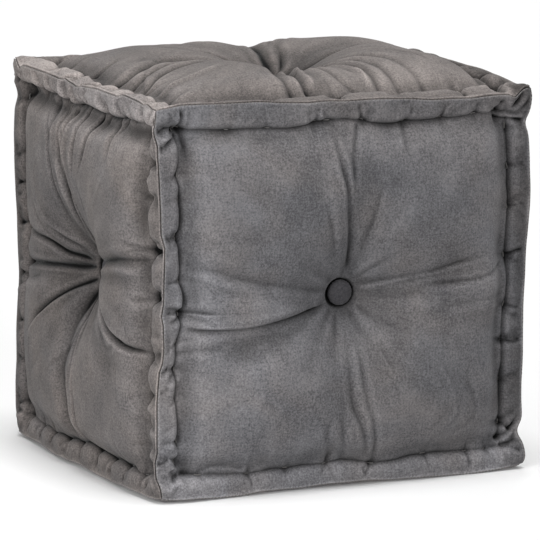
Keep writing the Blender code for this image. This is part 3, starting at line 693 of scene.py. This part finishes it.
def panel_folds(panel):
    """Every fold of a panel: the listed ones, the fine ones, then those that the stitches gather."""
    name, flip_right, flip_up, turned = BORROWED.get(panel.name, (panel.name, 1, 1, False))
    halves = np.array((HALF[axis_of(panel.right)], HALF[axis_of(panel.up)]))
    deeper = CLOTH_LOOKS[panel.name].fold_depth * MM
    folds = []
    for depth, width, lean, *places in FOLDS.get(name, ()):
        line = draw_line(places) * (flip_right, flip_up)
        if turned:
            line = line[:, ::-1]
        ends = line[[0, -1]]
        inside = ((halves - np.abs(ends)).min(1) > 0.034) & (np.hypot(*ends.T) > 0.024)
        start, end = np.where(inside, 2.6, 8.0)
        folds.append(Fold(depth * deeper, width * MM, line, start, end, lean))
    return folds + fine_folds(panel) + ([] if panel.name == "bottom" else roll_folds(panel))


def button_pleats(panel, right, up):
    """Soft pleats that run out from the button like spokes."""
    away = np.hypot(right, up)
    angle = np.arctan2(up, right)
    seed = PANELS.index(panel)
    spokes = sum(np.sin(angle * count + seed * 1.7 + count) / (1 + k * 0.4)
                 for k, count in enumerate((7, 11, 16, 5)))
    rim = smooth_step((away - SEAT_HALF) / 0.010) * np.exp(-((away - SEAT_HALF) / 0.040))
    return 0.0011 * spokes * rim


def button_collar(away, round_button):
    """The cloth that stands up round the button, open on one side."""
    gap = 0.0002 + 0.0034 * np.maximum(np.cos(round_button - COLLAR_OPEN), 0.0) ** 1.5
    past_button = smooth_step((away - BUTTON_RADIUS - gap) / 0.0022)
    height = 0.0040 + 0.0016 * np.cos(round_button - COLLAR_HIGH)
    return height * past_button * np.exp(-np.maximum(away - 0.0165, 0) / 0.010)


def surface(panel, right, up, lift=0.0, plain=False):
    """Points of the finished cloth at places given from the panel's button.

    Returns the points, how far each stands out from the cube's sides, and how far it is drawn in: 0 where it
    isn't, 1 in the deepest dimples. A plain surface has no folds, as under a button.
    """
    right, up = np.asarray(right, float).ravel(), np.asarray(up, float).ravel()
    normal, axis_right, axis_up = (np.array(each, float) for each in (panel.normal, panel.right, panel.up))
    half_right, half_up = HALF[axis_of(panel.right)], HALF[axis_of(panel.up)]
    from_side, from_end = half_right - np.abs(right), half_up - np.abs(up)
    inward = np.minimum(from_side, from_end)
    away = np.hypot(right, up)

    sunk = np.minimum(channel(from_side), channel(from_end))
    filled = swell(right, half_right, panel.gentle_right) * swell(up, half_up, panel.gentle_up)
    drawn_in = sum(crease_depth(crease, right, up) for crease in CREASES if crease.panel == panel.name)
    height = (channel(ROLL_WIDTH) + panel.crown - drawn_in) * filled - sunk
    full = height + drawn_in * filled
    off_seat = np.maximum(away - SEAT_RADIUS, 0.0)
    height -= (height + panel.seat) * np.exp(-off_seat / panel.pull) * smooth_step(inward / 0.010)

    folded, shift_right, shift_up = np.zeros((3, len(right)))
    seam_shift = np.zeros((len(right), 3))
    if not plain:
        for fold in panel_folds(panel):
            press_fold(folded, right, up, fold)
        folded += button_pleats(panel, right, up)
        folded *= smooth_step((inward - 0.0005) / 0.0035) * smooth_step((away - BUTTON_RADIUS) / 0.006)
        for edge, across, sign in sides_of(panel):
            folded += roll_relief(panel, edge, across, sign, (right, up), (half_right, half_up),
                                  (shift_right, shift_up), seam_shift)
        spot = np.stack((right, up, np.full(len(right), 0.3 * PANELS.index(panel))), 1)
        calm = smooth_step((inward - 0.020) / 0.030) * smooth_step((away - SEAT_HALF) / 0.020)
        folded += calm * (0.0018 * noise(spot, 0.052, 3) + 0.0008 * noise(spot, 0.022, 8))
        folded += button_collar(away, np.arctan2(up, right))
    if panel.name == "bottom":
        height = np.minimum(height + folded * smooth_step(channel(inward) / 0.004), 0.0)
    else:
        height = height + folded

    phase = PANEL_PHASE * PANELS.index(panel)
    place_right = laid(right, up, half_right, half_up, panel.button_right, phase) + shift_right
    place_up = laid(up, right, half_up, half_right, panel.button_up, phase + UP_PHASE) + shift_up
    flat = normal * abs(normal @ HALF) + place_right[:, None] * axis_right + place_up[:, None] * axis_up
    core = np.clip(flat, ROLL_RADIUS - HALF, HALF - ROLL_RADIUS)
    facing = flat - core
    facing /= np.linalg.norm(facing, axis=1)[:, None]
    point = core + facing * (ROLL_RADIUS + height + lift)[:, None]
    point = strayed(point) + SETTLE + np.array((0, 0, HALF[2])) + seam_shift
    point[:, 2] = np.maximum(point[:, 2], 0.0)
    return point, height, np.clip((full - height) / DRAWN_DEPTH, 0.0, 1.0)


def roll_relief(panel, edge, across, sign, places, halves, shifts, seam_shift):
    """One rolled edge's own shape on one panel: pinched at its stitches, fuller between, grooved at the seam.

    Returns how far the cloth stands out. It also adds to shifts, which slide the cloth along the panel, and
    to seam_shift, which moves the seam.
    """
    sizes = bpy.context.scene.pouf_sizes
    from_seam = halves[across] - sign * places[across]
    lengthwise = edge.index(0)
    along = places[1 - across] * (panel.right if across else panel.up)[lengthwise]
    from_end = HALF[lengthwise] - np.abs(along)
    full, valley = ROLLS.get((panel.name, edge), USUAL_ROLL)
    stitches, pulls = stitches_on(panel, edge)
    gap = np.abs(along[:, None] - stitches)
    pinch = (pulls * bell(gap, 0.0, PINCH_LENGTH)).sum(1)
    puff = smooth_step(gap.min(1) / PUFF_LENGTH) - 0.5
    off_corner = smooth_step((from_end - 0.008) / 0.022)
    own = smooth_step((from_seam - 0.001) / 0.006) * off_corner
    low = own * (0.6 if edge[2] < 0 else 1.0)

    number = edge_number(edge)
    number_here = number + 31 * PANELS.index(panel)
    line = np.stack((along, np.zeros(len(along))), 1)
    lumps = noise(np.stack((along, from_seam * 0.7), 1), 0.030, number_here)
    crumple = noise(np.stack((along, from_seam), 1), 0.011, number_here + 7)
    ragged = noise(line, 0.026, number_here + 3)
    cut = np.clip(0.25 + 0.75 * ragged + 0.9 * pinch, 0.0, 1.5)

    relief = low * bell(from_seam, *CREST) * (PUFF_HEIGHT * full * puff + LUMP_HEIGHT * lumps
                                              + CRUMPLE_HEIGHT * crumple
                                              - sizes.pinch * pinch * (0.35 + 0.65 * full))
    relief += low * (UNDERSIDE_HEIGHT + UNDERSIDE_LUMP * lumps) * bell(from_seam, *UNDERSIDE)
    relief += own * TUCK_FILL_HEIGHT * np.clip(1 - cut, 0.0, 1.0) * bell(from_seam, *TUCK_FILL)
    relief -= own * TUCK_DEPTH * (cut * bell(from_seam, *TUCK) + pinch * bell(from_seam, *STITCH_DIP))
    relief -= own * VALLEY_DEPTH * valley * (1 + 0.4 * lumps) * bell(from_seam, *VALLEY)
    uneven = 1 + 0.75 * noise(line, 0.040, number + 11)
    relief += off_corner * SEAM_RIDGE_HEIGHT * uneven * bell(from_seam, *SEAM_RIDGE)
    lap = 0.46 if first_panel(edge)[0] is not panel else 0.34
    relief += (smooth_step((from_end - 0.0002) / 0.0030) * sizes.seam_depth
               * (lap * bell(from_seam, *SEAM_LIP) - bell(from_seam, *SEAM_GROOVE)))

    slide = own * bell(from_seam, *SIDE_SLIDE) * (0.0030 * full * puff + 0.0016 * ragged - 0.0026 * pinch)
    shifts[across][:] -= sign * slide
    waver = 0.0012 * noise(line, 0.024, number)
    if edge in SEAM_PATHS:
        path = np.array(SEAM_PATHS[edge]).reshape(-1, 2)[::-1] * MM
        waver = 0.4 * waver + np.interp(along, path[:, 0], path[:, 1])
    else:
        waver += 0.0022 * noise(line, 0.060, number + 5)
    crosswise = np.array(edge, float)
    crosswise[np.flatnonzero(crosswise)[0]] *= -1
    seam_shift += (off_corner * waver * bell(from_seam, *SEAM_REACH))[:, None] * crosswise / math.sqrt(2)
    return relief


def grid_stops(half, spacing):
    """Where the cloth's grid lines run: densest at the seam, dense on the roll and even across the panel."""
    stops = list(SEAM_STOPS)
    while stops[-1] < ROLL_STOPS_END:
        stops.append(stops[-1] + ROLL_SPACING)
    rest = half - stops[-1]
    count = round(rest / spacing)
    stops = np.array(stops + [stops[-1] + rest * n / count for n in range(1, count + 1)])
    return np.concatenate((stops - half, (half - stops)[::-1][1:]))


def make_panel(panel, finish):
    """One panel of gathered cloth, from a grid whose points are laid on the sewn cube."""
    spacing = bpy.context.scene.pouf_sizes.spacing * (1.0 if panel.name in SHOWN else HIDDEN_SPACING)
    rights = grid_stops(HALF[axis_of(panel.right)], spacing)
    ups = grid_stops(HALF[axis_of(panel.up)], spacing)
    shape = bmesh.new()
    bmesh.ops.create_grid(shape, x_segments=len(rights) - 1, y_segments=len(ups) - 1, size=1.0)
    mesh = bpy.data.meshes.new("panel_" + panel.name)
    shape.to_mesh(mesh)
    shape.free()
    flat = np.zeros(len(mesh.vertices) * 3)
    mesh.vertices.foreach_get("co", flat)
    flat = flat.reshape(-1, 3)
    column = np.rint((flat[:, 0] + 1) / 2 * (len(rights) - 1)).astype(int)
    row = np.rint((flat[:, 1] + 1) / 2 * (len(ups) - 1)).astype(int)
    right, up = rights[column], ups[row]
    points, height, drawn = surface(panel, right, up)
    mesh.vertices.foreach_set("co", points.ravel())
    sheet = np.zeros((len(ups), len(rights)))
    sheet[row, column] = height
    raised = [(sheet - spread(ups, size) @ sheet @ spread(rights, size).T)[row, column]
              for size in (RIDGE_SIZE, HOLLOW_SIZE, WIDE_HOLLOW_SIZE)]
    worn, hollow = paint_wear_and_light(panel, points, right, up, raised, drawn)
    warmth = np.full(len(flat), CLOTH_LOOKS[panel.name].warmth)
    for name, values in (("worn", worn), ("hollow", hollow), ("warmth", warmth)):
        mesh.attributes.new(name, "FLOAT", "POINT").data.foreach_set("value", values)
    corners = np.zeros(len(mesh.loops), int)
    mesh.loops.foreach_get("vertex_index", corners)
    cloth = mesh.uv_layers.new(name="cloth")
    cloth.uv.foreach_set("vector", np.stack((right, up), 1)[corners].ravel())
    mesh.shade_smooth()
    mesh.materials.append(finish)
    mesh.update()
    return add_object(mesh.name, mesh)


def paint_wear_and_light(panel, points, right, up, raised, drawn):
    """(paler, darker) of each point of a panel: paler where the cloth is rubbed pale and where light is
    painted on, darker where dye stays in its hollows and where shade is painted in hollows, seams, the gap by
    its button and over whole panels.

    raised holds how far each point stands above the cloth round it, for a narrow, a wider and a wide ring.
    """
    cloth_look = CLOTH_LOOKS[panel.name]
    halves = HALF[axis_of(panel.right)], HALF[axis_of(panel.up)]
    inward = np.minimum(halves[0] - np.abs(right), halves[1] - np.abs(up))
    away, round_button = np.hypot(right, up), np.arctan2(up, right)
    # Paler on small ridges where the cloth is rubbed pale; darker in small creases, partly dye and partly
    # painted shade.
    worn = np.clip(raised[0] / 0.0010, -2.2, np.where(inward < ROLL_WIDTH, 1.8, 0.8))
    patchy = 1.2 * noise(points, 0.018, 5)
    for edge, across, sign in sides_of(panel):
        from_seam = halves[across] - sign * (right, up)[across]
        # Painted light and shade: each roll is made paler or darker as the light falls on it.
        worn += PAINTED_ROLL_LIGHT.get(edge, 0.0) * smooth_step((ROLL_WIDTH + 0.002 - from_seam) / 0.010)
        pale = 2.8 if first_panel(edge)[0] is panel else 1.2
        worn += (pale + patchy) * bell(from_seam, *PALE_LIP)
    spoke = np.stack((np.cos(round_button), np.sin(round_button), away / 0.7), 1)
    calm = smooth_step((inward - ROLL_WIDTH) / 0.010) * smooth_step((away - SEAT_HALF) / 0.030)
    worn += cloth_look.hollows * calm * (0.45 * noise(spoke, 0.11, 21) + 0.35 * noise(spoke, 0.05, 22))
    # Wide patches of painted light and shade.
    for patch_right, patch_up, size, amount in cloth_look.patches:
        worn += amount * bell(np.hypot(right - patch_right * MM, up - patch_up * MM), 0.0, size * MM)
    # Painted shade: darker in hollows and dimples (partly dye), in the seam's groove, in the gap on the
    # button's open side, and over the whole of the left and top panels.
    open_side = 0.5 + 2.2 * np.maximum(np.cos(round_button - COLLAR_OPEN), 0.0)
    low = np.clip(-raised[1] / 0.0045, -0.7, 1.0) + np.clip(-raised[2] / 0.012, -0.5, 1.0)
    hollow = (cloth_look.hollows * (low + drawn) + 0.8 * bell(inward, *PAINTED_SEAM_SHADE)
              + open_side * bell(away, *PAINTED_GAP_SHADOW) + cloth_look.shade)
    return worn, hollow


def add_object(name, data):
    """A new object in the scene."""
    made = bpy.data.objects.new(name, data)
    bpy.context.scene.collection.objects.link(made)
    return made


# ---------------------------------------------------------------- thread

def tube(points, radius, sides=6):
    """(points, faces) of a thread along a few points, thinner at both ends."""
    ahead = np.gradient(points, axis=0)
    ahead /= np.linalg.norm(ahead, axis=1)[:, None]
    side = np.cross(ahead, NO_THREADS_WAY)
    side /= np.linalg.norm(side, axis=1)[:, None]
    other = np.cross(ahead, side)
    turn = np.arange(sides) * math.tau / sides
    thick = np.full(len(points), radius)
    thick[0] = thick[-1] = radius * THREAD_END
    ring = np.cos(turn)[None, :, None] * side[:, None] + np.sin(turn)[None, :, None] * other[:, None]
    ring = points[:, None] + ring * thick[:, None, None]
    faces = []
    for level in range(len(points) - 1):
        for n in range(sides):
            a, b = level * sides + n, level * sides + (n + 1) % sides
            faces.append((a, b, b + sides, a + sides))
    faces.append(tuple(range(sides))[::-1])
    faces.append(tuple(range((len(points) - 1) * sides, len(points) * sides)))
    return ring.reshape(-1, 3), faces


def join(name, tubes, finish):
    """One object of many threads."""
    points, faces, start = [], [], 0
    for tube_points, tube_faces in tubes:
        points.append(tube_points)
        faces += [tuple(corner + start for corner in face) for face in tube_faces]
        start += len(tube_points)
    mesh = bpy.data.meshes.new(name)
    mesh.from_pydata(np.vstack(points).tolist(), [], faces)
    mesh.shade_smooth()
    mesh.materials.append(finish)
    return add_object(name, mesh)


def on_edge(panel, edge, across, sign, along, from_seam, lift):
    """Points along an edge of a panel, at this distance in from its seam."""
    flip = (panel.right if across else panel.up)[edge.index(0)]
    half = HALF[axis_of(panel.up if across else panel.right)]
    place = np.full(len(along), sign * half) - sign * np.asarray(from_seam)
    along = np.asarray(along) * flip
    right, up = (along, place) if across else (place, along)
    return surface(panel, right, up, lift)[0]


# ---------------------------------------------------------------- finishes

class Value:
    """One output of a finish's nodes; Python's arithmetic on it adds Math nodes."""

    def __init__(self, finish, socket):
        self.finish = finish
        self.socket = socket

    def math(self, operation, first, second=0.0, clamp=False):
        settings = {"operation": operation, "use_clamp": clamp}
        return self.finish.node("ShaderNodeMath", settings, {0: first, 1: second})

    def __add__(self, other):
        return self.math("ADD", self, other)

    def __sub__(self, other):
        return self.math("SUBTRACT", self, other)

    def __rsub__(self, other):
        return self.math("SUBTRACT", other, self)

    def __mul__(self, other):
        return self.math("MULTIPLY", self, other)

    def sine(self):
        return self.math("SINE", self)

    def clamped(self):
        return self.math("ADD", self, 0.0, clamp=True)

    __radd__ = __add__
    __rmul__ = __mul__


class Finish:
    """A material and the nodes that make it."""

    def __init__(self, name):
        self.material = bpy.data.materials.new(name)
        self.material.use_nodes = True
        self.nodes = self.material.node_tree.nodes
        self.links = self.material.node_tree.links
        self.shader = self.nodes["Principled BSDF"]

    def node(self, kind, settings=None, inputs=None, output=0):
        """Adds a node: its settings first, then its inputs' values or links. Returns one of its outputs."""
        made = self.nodes.new(kind)
        for key, value in (settings or {}).items():
            setattr(made, key, value)
        for key, value in (inputs or {}).items():
            if isinstance(value, Value):
                self.links.new(value.socket, made.inputs[key])
            else:
                made.inputs[key].default_value = value
        return Value(self, made.outputs[output])

    def mix(self, factor, first, second, blend="MIX"):
        return self.node("ShaderNodeMix", {"data_type": "RGBA", "blend_type": blend},
                         {0: factor, 6: first, 7: second}, 2)

    def stretched(self, vector, scale):
        return self.node("ShaderNodeVectorMath", {"operation": "MULTIPLY"}, {0: vector, 1: scale})

    def grain(self, vector, scale, detail=2.0, roughness=0.5, distortion=0.0):
        return self.node("ShaderNodeTexNoise", {}, {"Vector": vector, "Scale": scale, "Detail": detail,
                                                    "Roughness": roughness, "Distortion": distortion})

    def feed(self, **inputs):
        for key, value in inputs.items():
            name = key.replace("_", " ")
            if isinstance(value, Value):
                self.links.new(value.socket, self.shader.inputs[name])
            else:
                self.shader.inputs[name].default_value = value
        return self.material


def canvas(name, light, warm, shade, fuzz=0.12):
    """Washed cotton canvas: mottled, streaked along its threads, rubbed pale on ridges, with light and shade
    painted on from the panels' attributes: paler on lit rolls and patches, darker in creases, hollows, seams
    and shaded patches.
    """
    finish = Finish(name)
    cloth = finish.node("ShaderNodeUVMap", {"uv_map": "cloth"})
    place = finish.node("ShaderNodeTexCoord", {}, {}, "Object")
    blotch = finish.grain(place, 24.0, 2.6, 0.5, 0.6)
    patch = finish.grain(place, 8.0, 2.0, 0.5, 0.3)
    hue = finish.grain(place, 11.0, 2.0, 0.6, 0.4)
    warp = finish.grain(finish.stretched(cloth, (1.0, 0.12, 1.0)), 560.0, 2.0, 0.6)
    weft = finish.grain(finish.stretched(cloth, (0.15, 1.0, 1.0)), 500.0, 2.0, 0.6)
    speck = finish.grain(place, 520.0, 3.0, 0.7)
    worn, hollow, warmth = (finish.node("ShaderNodeAttribute", {"attribute_name": each}, {}, "Fac")
                            for each in ("worn", "hollow", "warmth"))
    tone = (0.5 + (blotch - 0.5) * 0.85 + (patch - 0.5) * 0.5 + (warp - 0.5) * 0.6 + (weft - 0.5) * 0.45
            + (speck - 0.5) * 2.6)
    base = finish.mix(((hue - 0.5) * 1.6 + warmth).clamped(), light, warm)
    mottled = finish.mix(tone.clamped(), finish.mix(1.0, base, (shade, shade, shade * 1.02, 1.0), "MULTIPLY"),
                         finish.mix(1.0, base, (1.5, 1.5, 1.49, 1.0), "MULTIPLY"))
    # Painted light and shade: paler where the cloth is rubbed pale or painted lit, darker where dye or
    # painted shade lies, as each panel's attributes say.
    colour = finish.mix(1.0, mottled, 1.0 + worn * 0.16 - hollow * 0.30, "MULTIPLY")
    parts = finish.stretched(cloth, (7000.0, 7000.0, 1.0))
    weave = (finish.node("ShaderNodeSeparateXYZ", {}, {0: parts}, "X").sine()
             * finish.node("ShaderNodeSeparateXYZ", {}, {0: parts}, "Y").sine())
    relief = weave * 0.35 + warp * 1.1 + weft * 0.9 + speck * 0.6
    bump = finish.node("ShaderNodeBump", {}, {"Height": relief, "Distance": 0.0004, "Strength": 0.6})
    rough = 0.90 + (blotch - 0.5) * 0.10
    return finish.feed(Base_Color=colour, Roughness=rough, Normal=bump, Sheen_Weight=fuzz,
                       Sheen_Roughness=0.5, Specular_IOR_Level=0.18)


def thread_finish(name, colour):
    """Waxed cotton thread, lightly flecked."""
    finish = Finish(name)
    place = finish.node("ShaderNodeTexCoord", {}, {}, "Object")
    fleck = finish.grain(place, 700.0, 2.0, 0.6)
    shade = finish.mix(fleck, (colour[0] * 0.7, colour[1] * 0.7, colour[2] * 0.7, 1.0), colour)
    bump = finish.node("ShaderNodeBump", {}, {"Height": fleck, "Distance": 0.0002, "Strength": 0.5})
    return finish.feed(Base_Color=shade, Roughness=0.8, Normal=bump, Specular_IOR_Level=0.25)


def floor_finish(name, colour):
    """The studio's plain pale floor."""
    return Finish(name).feed(Base_Color=colour, Roughness=0.9, Specular_IOR_Level=0.1)


# ---------------------------------------------------------------- settings

class PoufSizes(bpy.types.PropertyGroup):
    """Sizes of the cloth's detail."""

    spacing: bpy.props.FloatProperty(
        name="Cloth spacing", description="Distance between the cloth's grid lines inside a panel",
        default=0.0014, min=0.001, max=0.01, unit="LENGTH")
    pinch: bpy.props.FloatProperty(
        name="Stitch pinch", description="How far a hand stitch pulls the rolled edge in",
        default=0.0046, min=0.0, max=0.008, unit="LENGTH")
    seam_depth: bpy.props.FloatProperty(
        name="Seam depth", description="Depth of the groove that the seam lies in",
        default=0.0021, min=0.0, max=0.004, unit="LENGTH")
    thread: bpy.props.FloatProperty(
        name="Seam thread", description="Radius of the seams' thread",
        default=0.00042, min=0.0001, max=0.002, unit="LENGTH")
    tie_thread: bpy.props.FloatProperty(
        name="Hand thread", description="Radius of the thread that the rolls are stitched through with",
        default=0.00070, min=0.0001, max=0.002, unit="LENGTH")
    seam_stitch: bpy.props.FloatProperty(
        name="Seam stitch", description="Length of one stitch of the seams",
        default=0.0030, min=0.001, max=0.01, unit="LENGTH")


class PoufColours(bpy.types.PropertyGroup):
    """Colours of the cloth, the thread and the floor."""

    canvas: bpy.props.FloatVectorProperty(
        name="Canvas", description="Cool grey of the washed canvas",
        subtype="COLOR", size=4, min=0, max=1, default=(0.140, 0.138, 0.146, 1.0))
    canvas_warm: bpy.props.FloatVectorProperty(
        name="Canvas, warm", description="Warmer grey of the canvas where the dye has washed out",
        subtype="COLOR", size=4, min=0, max=1, default=(0.170, 0.151, 0.143, 1.0))
    button: bpy.props.FloatVectorProperty(
        name="Buttons", description="Darker canvas of the covered buttons",
        subtype="COLOR", size=4, min=0, max=1, default=(0.058, 0.056, 0.061, 1.0))
    thread: bpy.props.FloatVectorProperty(
        name="Seam thread", description="Thread of the seams",
        subtype="COLOR", size=4, min=0, max=1, default=(0.300, 0.285, 0.275, 1.0))
    hand_thread: bpy.props.FloatVectorProperty(
        name="Hand thread", description="Thread that the rolls are stitched through with",
        subtype="COLOR", size=4, min=0, max=1, default=(0.170, 0.162, 0.158, 1.0))
    floor: bpy.props.FloatVectorProperty(
        name="Floor", description="Studio floor",
        subtype="COLOR", size=4, min=0, max=1, default=(0.92, 0.92, 0.92, 1.0))


# ---------------------------------------------------------------- operators

class POUF_OT_panels(bpy.types.Operator):
    """Makes the six gathered canvas panels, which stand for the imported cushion"""

    bl_idname = "pouf.panels"
    bl_label = "Canvas panels"

    def execute(self, context):
        colours = context.scene.pouf_colours
        finish = canvas("stonewashed canvas", tuple(colours.canvas), tuple(colours.canvas_warm), 0.55)
        for panel in PANELS:
            made = make_panel(panel, finish)
            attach(made, "root")
            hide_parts("cushion")
        return {"FINISHED"}


class POUF_OT_seams(bpy.types.Operator):
    """Sews the twelve seams with a line of small stitches"""

    bl_idname = "pouf.seams"
    bl_label = "Seam stitches"

    def execute(self, context):
        sizes = context.scene.pouf_sizes
        finish = thread_finish("seam thread", tuple(context.scene.pouf_colours.thread))
        pitch = sizes.seam_stitch * SEAM_PITCH
        for edge in EDGES:
            panel, across, sign = first_panel(edge)
            half = HALF[edge.index(0)] - 0.006
            count = int(2 * half / pitch)
            middles = (np.arange(count) - (count - 1) / 2) * pitch
            shares = np.linspace(-0.5, 0.5, 5)
            along = (middles[:, None] + shares * sizes.seam_stitch).ravel()
            lifts = np.tile(0.0004 - 0.0009 * (2 * shares) ** 2, count)
            line = on_edge(panel, edge, across, sign, along, np.full(len(along), SEAM_THREAD_IN), lifts)
            tubes = [tube(points, sizes.thread, 5) for points in line.reshape(count, len(shares), 3)]
            name = "seam_" + "".join("lor"[side + 1] for side in edge)
            made = join(name, tubes, finish)
            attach(made, "root")
        return {"FINISHED"}


class POUF_OT_hand_stitches(bpy.types.Operator):
    """Lays the hand stitches that are pulled through the rolled edges, along their channels"""

    bl_idname = "pouf.hand_stitches"
    bl_label = "Hand stitches"

    def execute(self, context):
        sizes = context.scene.pouf_sizes
        finish = thread_finish("hand thread", tuple(context.scene.pouf_colours.hand_thread))
        shares = np.linspace(-0.5, 0.5, 9)
        for panel in PANELS[:-1]:  # the bottom's own lie against the floor
            tubes = []
            for edge, across, sign in sides_of(panel):
                dice = np.random.default_rng(900 + edge_number(edge) + 30 * PANELS.index(panel))
                places, _ = stitches_on(panel, edge)
                for place in places:
                    length = dice.uniform(0.006, 0.009)
                    along = place + shares * length
                    from_seam = np.full(len(along), ROLL_WIDTH) + dice.uniform(-0.001, 0.001)
                    lifts = 0.0005 - 0.0030 * (2 * shares) ** 4
                    line = on_edge(panel, edge, across, sign, along, from_seam, lifts)
                    tubes.append(tube(line, sizes.tie_thread, 6))
            made = join("hand_stitches_" + panel.name, tubes, finish)
            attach(made, "root")
        return {"FINISHED"}


class POUF_OT_buttons(bpy.types.Operator):
    """Makes the six covered buttons, each lying on its seat"""

    bl_idname = "pouf.buttons"
    bl_label = "Covered buttons"

    def execute(self, context):
        colour = tuple(context.scene.pouf_colours.button)
        warm = (colour[0] * 1.05, colour[1], colour[2] * 0.95, 1.0)
        finish = canvas("button canvas", colour, warm, 0.7, fuzz=0.08)
        for number, panel in enumerate(PANELS):
            made = make_button(panel, number, finish)
            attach(made, "root")
            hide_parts("button_" + panel.name)
        return {"FINISHED"}


def make_button(panel, number, finish):
    """A covered button: a domed disc whose cloth is drawn in small tucks round its rim."""
    sides, top = BUTTON_SIDES, BUTTON_THICK - BUTTON_DOME
    flat_radius = BUTTON_RADIUS - BUTTON_ROUNDING
    profile = [(flat_radius * share, top + BUTTON_DOME * (1 - share ** 2.4))
               for share in np.linspace(0.06, 1.0, 9)]
    for angle in np.radians(np.linspace(75, -90, 10)):
        profile.append((flat_radius + BUTTON_ROUNDING * math.cos(angle), top / 2 * (1 + math.sin(angle))))
    turn = np.arange(sides) * math.tau / sides
    points = [(0.0, 0.0, BUTTON_THICK)]
    for radius, rise in profile:
        rim = float(smooth_step((radius / BUTTON_RADIUS - 0.55) / 0.4))
        tuck = rim * (0.00022 * np.sin(turn * 17 + number) + 0.00016 * np.sin(turn * 29 + 2 * number))
        sag = 0.00025 * np.sin(turn * 2 + number) * (1 - rim)
        out = radius - np.abs(tuck)
        points += list(zip(out * np.cos(turn), out * np.sin(turn), rise + sag + tuck * 0.6))
    points.append((0.0, 0.0, 0.0))
    last, rings = len(points) - 1, len(profile)
    faces = [(0, 1 + n, 1 + (n + 1) % sides) for n in range(sides)]
    for ring in range(rings - 1):
        for n in range(sides):
            a, b = 1 + ring * sides + n, 1 + ring * sides + (n + 1) % sides
            faces.append((a, a + sides, b + sides, b))
    base = 1 + (rings - 1) * sides
    faces += [(last, base + (n + 1) % sides, base + n) for n in range(sides)]
    mesh = bpy.data.meshes.new("covered_button_" + panel.name)
    mesh.from_pydata([tuple(map(float, point)) for point in points], [], faces)
    cloth = mesh.uv_layers.new(name="cloth")
    for loop in mesh.loops:
        place = mesh.vertices[loop.vertex_index].co
        cloth.uv[loop.index].vector = (place.x, place.y)
    aside = 0.7 * SEAT_RADIUS
    spots, _, _ = surface(panel, (0.0, aside, 0.0), (0.0, 0.0, aside), SEAT_GAP, plain=True)
    middle, beside, above = (Vector(spot) for spot in spots)
    facing = (beside - middle).cross(above - middle).normalized()
    side = (beside - middle).normalized()
    placed = Matrix((side, facing.cross(side), facing)).transposed().to_4x4()
    mesh.transform(Matrix.Translation(middle) @ placed)
    mesh.shade_smooth()
    mesh.materials.append(finish)
    return add_object(mesh.name, mesh)


class POUF_OT_stage(bpy.types.Operator):
    """Sets the plain pale floor, the soft studio light and the camera"""

    bl_idname = "pouf.stage"
    bl_label = "Studio"

    def execute(self, context):
        scene = context.scene
        bpy.ops.mesh.primitive_plane_add(size=30.0, location=(0, 0, -0.0004))
        floor = context.object
        floor.name = "floor"
        floor.data.materials.append(floor_finish("studio floor", tuple(scene.pouf_colours.floor)))
        floor.visible_diffuse = False
        world = bpy.data.worlds.new("studio")
        world.use_nodes = True
        background = world.node_tree.nodes["Background"].inputs
        background["Color"].default_value = (1.0, 1.0, 1.0, 1.0)
        background["Strength"].default_value = ROOM_LIGHT
        scene.world = world
        key = bpy.data.lights.new("key", "AREA")
        key.shape = "DISK"
        key.size = KEY_SIZE
        key.energy = KEY_POWER
        lamp = add_object("key", key)
        lamp.location = KEY_PLACE
        aim = Vector((0, 0, CAMERA_HEIGHT)) - lamp.location
        lamp.rotation_euler = aim.to_track_quat("-Z", "Y").to_euler()
        for name, (angle, rise, strength) in SUNS.items():
            light = bpy.data.lights.new(name, "SUN")
            light.energy = strength
            light.angle = math.radians(SUN_SOFTNESS)
            add_object(name, light).rotation_euler = towards(angle, rise).to_track_quat("Z", "Y").to_euler()
        camera = bpy.data.cameras.new("camera")
        camera.lens = CAMERA_LENS
        camera.sensor_width = 36.0
        camera.shift_x, camera.shift_y = CAMERA_SHIFT
        back = towards(CAMERA_ANGLE, CAMERA_RISE)
        place = Matrix.Translation(Vector((SETTLE[0], SETTLE[1], CAMERA_HEIGHT)) + back * CAMERA_AWAY)
        scene.camera = add_object("camera", camera)
        scene.camera.matrix_world = place @ back.to_track_quat("Z", "Y").to_matrix().to_4x4()
        scene.view_settings.view_transform = "Standard"
        return {"FINISHED"}


def towards(angle, rise):
    """The way to a light or camera, this many degrees round from the front and up from level."""
    angle, rise = math.radians(angle), math.radians(rise)
    return Vector((math.sin(angle) * math.cos(rise), -math.cos(angle) * math.cos(rise), math.sin(rise)))


class POUF_PT_looks(bpy.types.Panel):
    """The pouf's pieces and settings"""

    bl_idname = "POUF_PT_looks"
    bl_label = "Cube pouf"
    bl_space_type = "VIEW_3D"
    bl_region_type = "UI"
    bl_category = "Pouf"

    def draw(self, context):
        for operator in OPERATORS:
            self.layout.operator(operator.bl_idname)
        for group in (context.scene.pouf_sizes, context.scene.pouf_colours):
            for name in group.__annotations__:
                self.layout.prop(group, name)


OPERATORS = (POUF_OT_panels, POUF_OT_seams, POUF_OT_hand_stitches, POUF_OT_buttons, POUF_OT_stage)
CLASSES = (PoufSizes, PoufColours) + OPERATORS + (POUF_PT_looks,)


def register():
    for each in CLASSES:
        bpy.utils.register_class(each)
    bpy.types.Scene.pouf_sizes = bpy.props.PointerProperty(type=PoufSizes)
    bpy.types.Scene.pouf_colours = bpy.props.PointerProperty(type=PoufColours)


def unregister():
    del bpy.types.Scene.pouf_sizes
    del bpy.types.Scene.pouf_colours
    for each in reversed(CLASSES):
        bpy.utils.unregister_class(each)


def main():
    register()
    bpy.ops.pouf.panels()
    bpy.ops.pouf.seams()
    bpy.ops.pouf.hand_stitches()
    bpy.ops.pouf.buttons()
    bpy.ops.pouf.stage()


if __name__ == "__main__":
    main()
